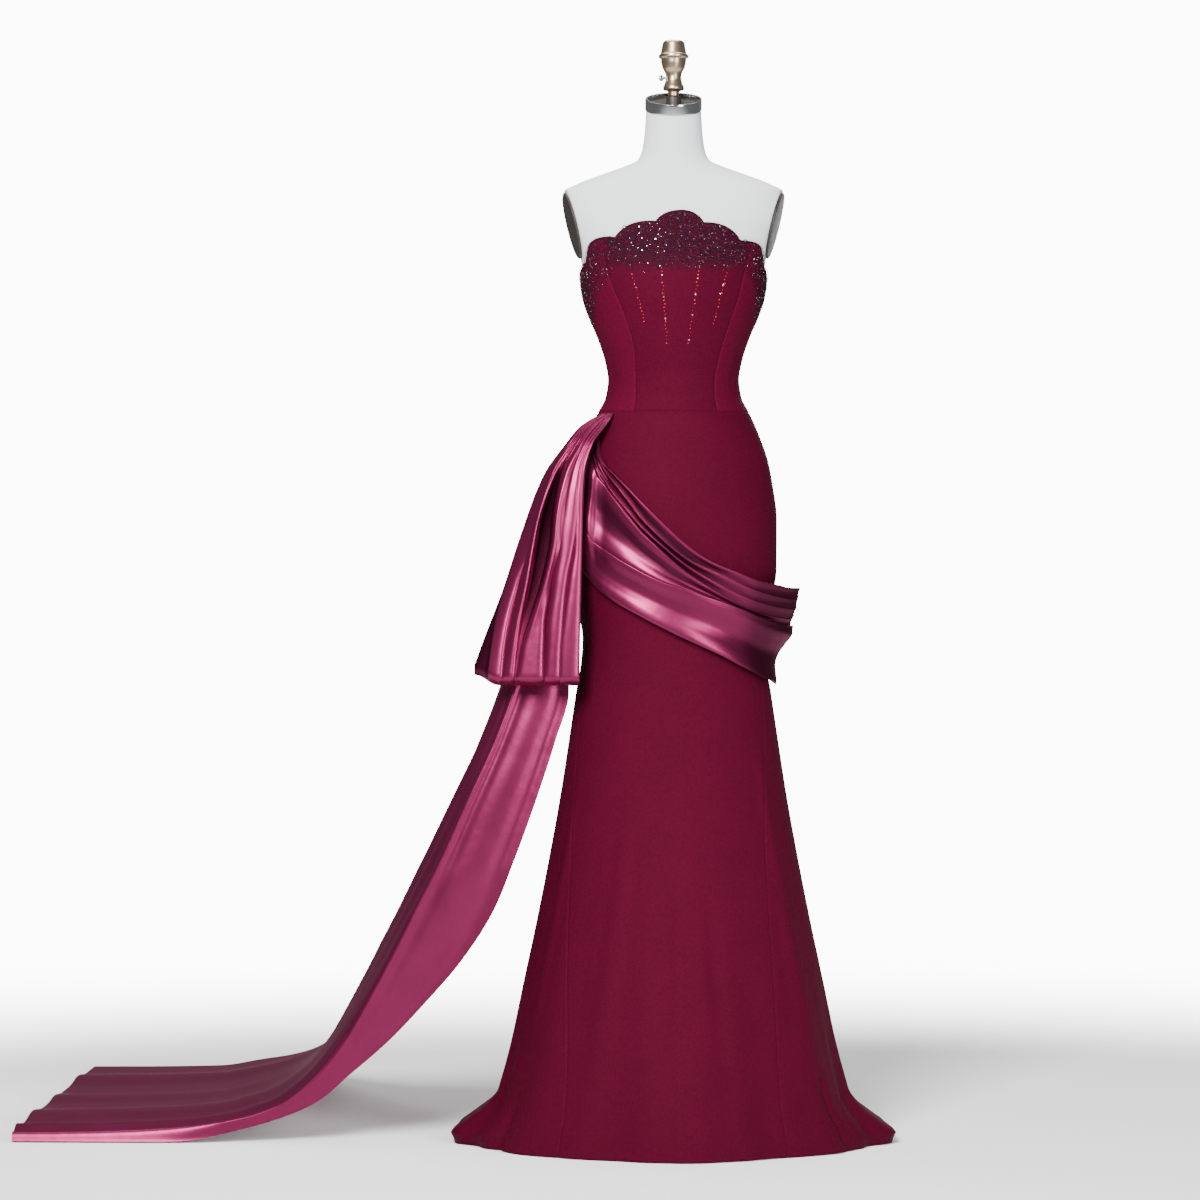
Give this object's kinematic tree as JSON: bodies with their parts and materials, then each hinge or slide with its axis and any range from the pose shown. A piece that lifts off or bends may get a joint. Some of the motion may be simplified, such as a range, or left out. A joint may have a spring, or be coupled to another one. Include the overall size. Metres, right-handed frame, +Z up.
{
  "type": "beaded strapless evening gown on a limbless dress form with stand",
  "caption": "Floor-length strapless gown with scalloped beaded top, satin hip drape, bow loop and train, standing on a dress form with a pole and round base.",
  "frame": {"origin": "centre of the stand base's underside, on the floor", "axes": "+Z up, -Y the gown's front, +X the right-hand side seen from the front"},
  "size_m": [1.4228, 1.2891, 1.763],
  "materials": {
    "crepe": "matte burgundy crepe",
    "satin": "glossy burgundy duchess satin",
    "form_cover": "white tight knit cover",
    "chrome": "polished chrome",
    "finial_brass": "satin champagne brass, turned",
    "dark_plate": "dark brown-grey moulded plate",
    "base_iron": "black enamelled iron",
    "zip_nylon": "burgundy nylon and lacquered metal"
  },
  "bodies": {
    "gown": {"form_torso": "form_cover", "form_neck_band": "chrome", "form_neck_plate": "dark_plate", "form_finial": "finial_brass", "form_clamp_screw": "chrome", "form_arm_plate_left": "dark_plate", "form_arm_plate_right": "dark_plate", "stand_base": "base_iron", "stand_pole": "chrome", "bodice_front": "crepe", "bodice_side_front_left": "crepe", "bodice_side_front_right": "crepe", "bodice_back_right": "crepe", "bodice_back_left": "crepe", "skirt_front": "crepe", "skirt_back_right": "crepe", "skirt_back_left": "crepe", "back_zip": "zip_nylon", "zip_slider": "zip_nylon", "hip_band_front": "satin", "hip_band_back": "satin", "bow_loop": "satin", "train": "satin"},
    "zip_tab": {"zip_pull": "zip_nylon"}
  },
  "joints": [
    {"name": "zip_tab_swing", "type": "hinge", "parent": "gown", "child": "zip_tab", "pos_m": [0, 0.0897, 1.336], "axis": [1, 0, 0], "range_deg": [0, 150]}
  ]
}
